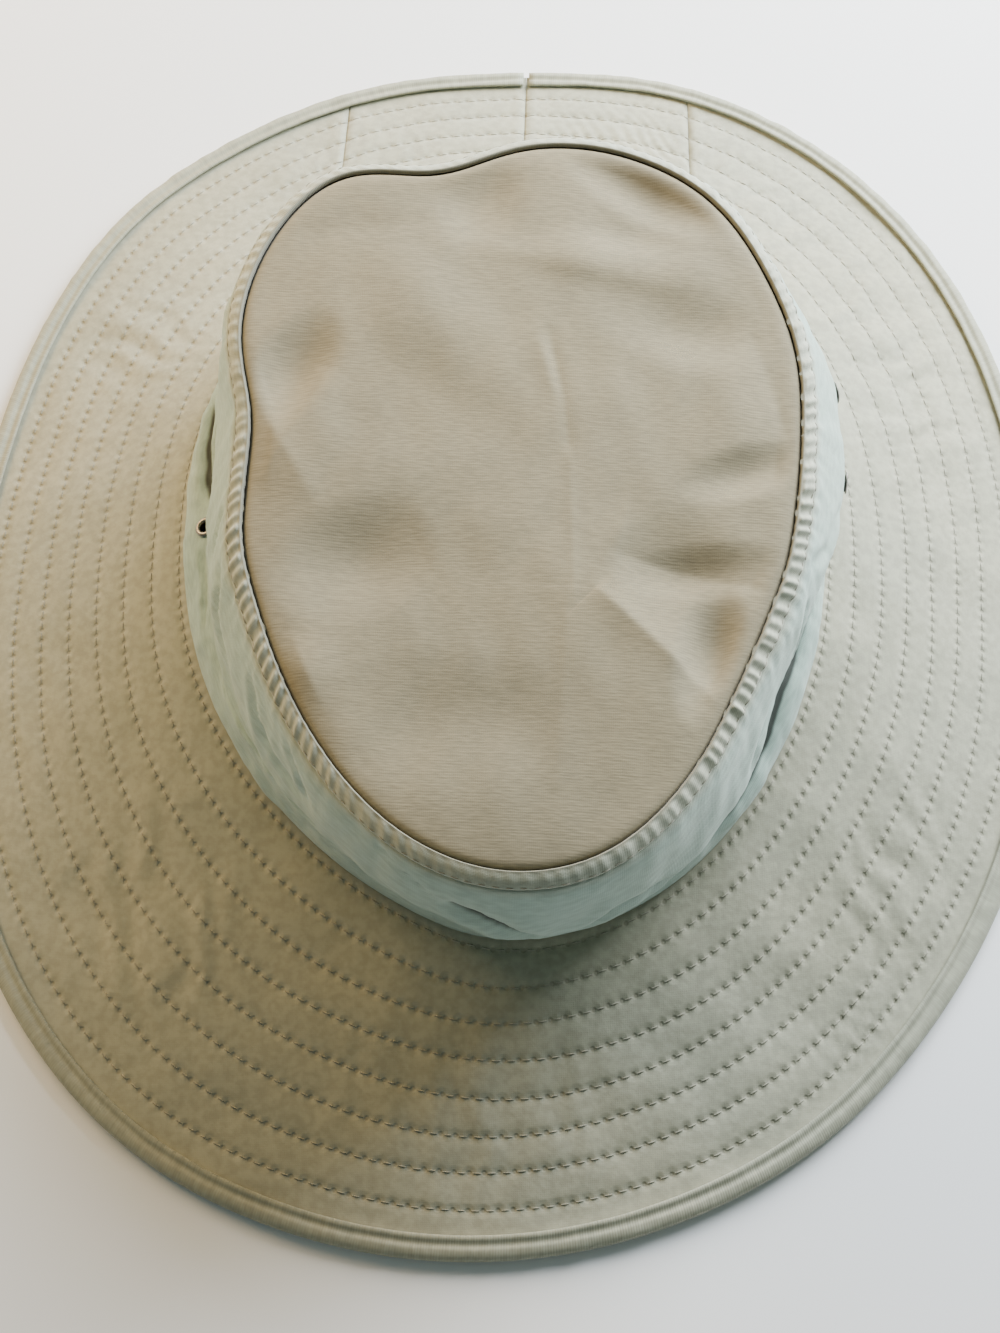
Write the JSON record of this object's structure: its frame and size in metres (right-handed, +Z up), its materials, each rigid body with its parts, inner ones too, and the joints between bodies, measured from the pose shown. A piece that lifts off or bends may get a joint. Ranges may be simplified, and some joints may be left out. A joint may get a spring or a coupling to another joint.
{
  "type": "wide-brim sun hat",
  "caption": "Cloth sun hat with a wide quilted brim, bound edge, slumped side wall with vent eyelets and an egg-shaped top panel, resting on its brim.",
  "frame": {"origin": "on the resting surface, under the middle of the brim's outline", "axes": "+Z up, -Y towards the front of the hat, +X towards the side on the right when the hat is seen from its front"},
  "size_m": [0.2944, 0.3528, 0.0895],
  "materials": {
    "tip_cloth": "fine crosswise rib weave, khaki, matt",
    "side_cloth": "smooth plain weave, pale sage, matt",
    "brim_cloth": "plain weave quilted in rows of stitching, khaki, matt",
    "binding_tape": "folded tape, olive khaki, matt",
    "eyelet_metal": "dull nickel"
  },
  "bodies": {
    "root": {"crown_tip": "tip_cloth", "crown_side": "side_cloth", "brim_front": "brim_cloth", "brim_back_left": "brim_cloth", "brim_back_right": "brim_cloth", "brim_binding": "binding_tape", "eyelet_left_front": "eyelet_metal", "eyelet_left_rear": "eyelet_metal", "eyelet_right_front": "eyelet_metal", "eyelet_right_rear": "eyelet_metal"}
  },
  "joints": []
}
